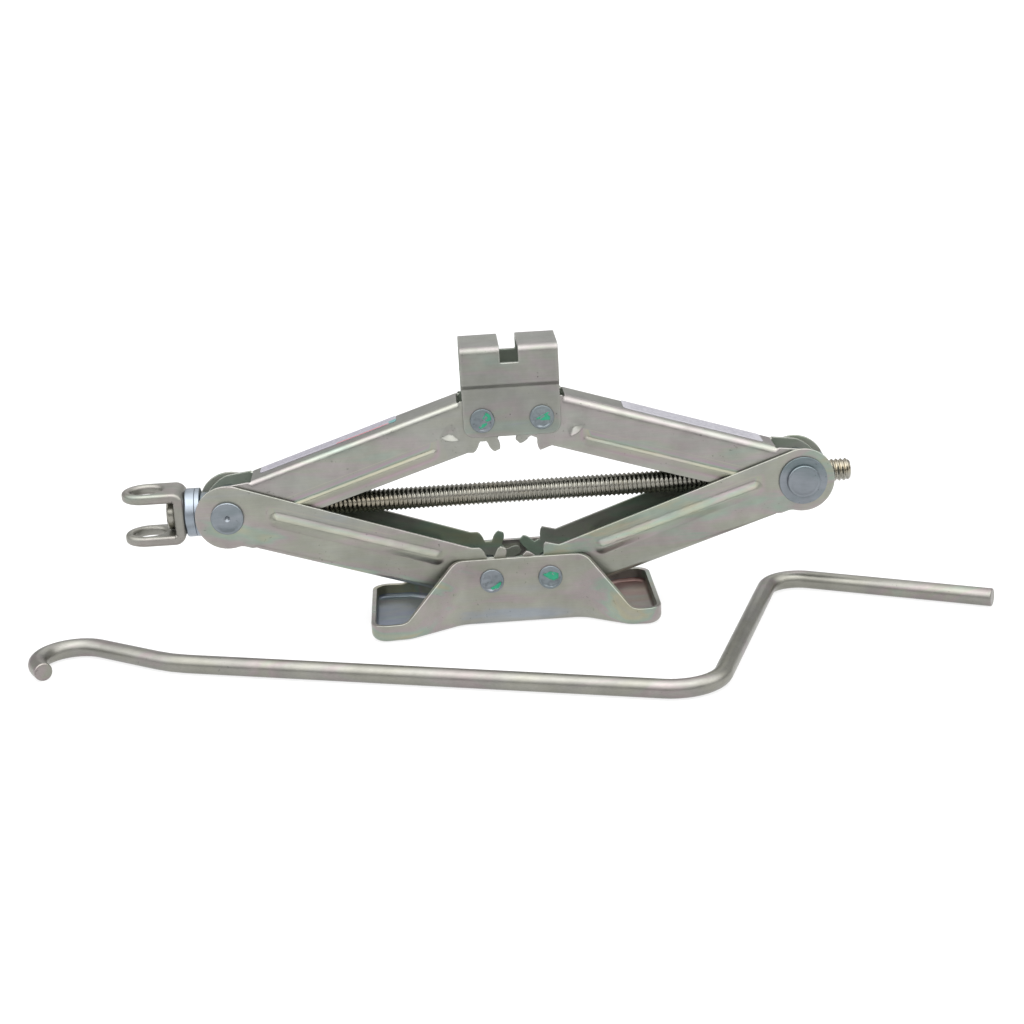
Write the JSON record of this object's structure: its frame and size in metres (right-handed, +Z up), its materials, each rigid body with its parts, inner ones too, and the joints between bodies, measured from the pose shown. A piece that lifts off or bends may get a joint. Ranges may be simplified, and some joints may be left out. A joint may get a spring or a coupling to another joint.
{
  "type": "scissor car jack",
  "caption": "Scissor jack with a folded steel base, four channel arms with toothed ends, a slotted saddle, a screw with a hooked-drive yoke and a loose bent crank handle",
  "frame": {"origin": "on the floor, under the middle of the two base pivots, on the jack's middle plane", "axes": "+X along the lifting screw away from the drive yoke, +Y across the jack away from the crank handle, +Z up"},
  "size_m": [0.532, 0.1892, 0.1584],
  "materials": {
    "zinc_pressing": "zinc-plated pressed sheet with a pale yellow-green passivation",
    "zinc_forging": "bright bluish zinc on rivets and forged cross-pieces",
    "bearing_steel": "ground steel",
    "screw_steel": "rolled thread, dull and greased",
    "yoke_steel": "zinc-plated strip, olive grey",
    "rod_steel": "zinc-plated drawn rod, warm silver",
    "label_film": "blank pale film label"
  },
  "bodies": {
    "base": {"base": "zinc_pressing", "base_rivet_left": "zinc_forging", "base_rivet_right": "zinc_forging"},
    "lower_arm_left": {"lower_arm_left": "zinc_pressing"},
    "lower_arm_right": {"lower_arm_right": "zinc_pressing"},
    "upper_arm_left": {"upper_arm_left": "zinc_pressing", "label_left": "label_film"},
    "upper_arm_right": {"upper_arm_right": "zinc_pressing", "label_right": "label_film"},
    "saddle": {"saddle": "zinc_pressing", "saddle_rivet_left": "zinc_forging", "saddle_rivet_right": "zinc_forging"},
    "thrust_trunnion": {"thrust_trunnion": "zinc_forging", "inner_race": "bearing_steel"},
    "nut_trunnion": {"nut_trunnion": "zinc_forging", "nut_pin_washers": "zinc_forging"},
    "ball_cage": {"ball_cage": "bearing_steel"},
    "screw": {"lifting_screw": "screw_steel", "drive_yoke": "yoke_steel", "outer_race": "bearing_steel"},
    "crank": {"crank_handle": "rod_steel"}
  },
  "joints": [
    {"name": "lift", "type": "hinge", "parent": "base", "child": "lower_arm_left", "pos_m": [-0.0163, 0, 0.026], "axis": [0, 1, 0], "range_deg": [-9.5, 52.3]},
    {"name": "lower_right_hinge", "type": "hinge", "parent": "base", "child": "lower_arm_right", "pos_m": [0.0163, 0, 0.026], "axis": [0, 1, 0], "range_deg": [-53.3, 10.5]},
    {"name": "upper_left_hinge", "type": "hinge", "parent": "lower_arm_left", "child": "upper_arm_left", "pos_m": [-0.1592, 0, 0.0716], "axis": [0, 1, 0], "range_deg": [-105.6, 20]},
    {"name": "upper_right_hinge", "type": "hinge", "parent": "lower_arm_right", "child": "upper_arm_right", "pos_m": [0.1592, 0, 0.0716], "axis": [0, 1, 0], "range_deg": [-20, 105.6]},
    {"name": "saddle_hinge", "type": "hinge", "parent": "upper_arm_left", "child": "saddle", "pos_m": [-0.0163, 0, 0.11721], "axis": [0, 1, 0], "range_deg": [-10.5, 53.3]},
    {"name": "thrust_trunnion_hinge", "type": "hinge", "parent": "lower_arm_left", "child": "thrust_trunnion", "pos_m": [-0.1592, 0, 0.0716], "axis": [0, 1, 0], "range_deg": [-53.3, 10.5]},
    {"name": "nut_trunnion_hinge", "type": "hinge", "parent": "lower_arm_right", "child": "nut_trunnion", "pos_m": [0.1592, 0, 0.0716], "axis": [0, 1, 0], "range_deg": [-10.5, 53.3]},
    {"name": "screw_turn", "type": "hinge", "parent": "thrust_trunnion", "child": "screw", "pos_m": [-0.1592, 0, 0.0716], "axis": [1, 0, 0], "continuous": true},
    {"name": "cage_turn", "type": "hinge", "parent": "thrust_trunnion", "child": "ball_cage", "pos_m": [-0.1592, 0, 0.0716], "axis": [1, 0, 0], "continuous": true},
    {"name": "crank_away", "type": "slide", "parent": "base", "child": "crank", "axis": [0, -1, 0], "range_m": [0, 0.15]}
  ],
  "couplings": [
    {"joint": "lower_right_hinge", "follows": "lift", "ratio": -1},
    {"joint": "upper_left_hinge", "follows": "lift", "ratio": -2},
    {"joint": "upper_right_hinge", "follows": "lift", "ratio": 2},
    {"joint": "saddle_hinge", "follows": "lift", "ratio": 1},
    {"joint": "thrust_trunnion_hinge", "follows": "lift", "ratio": -1},
    {"joint": "nut_trunnion_hinge", "follows": "lift", "ratio": 1},
    {"joint": "cage_turn", "follows": "screw_turn", "ratio": 0.5}
  ]
}
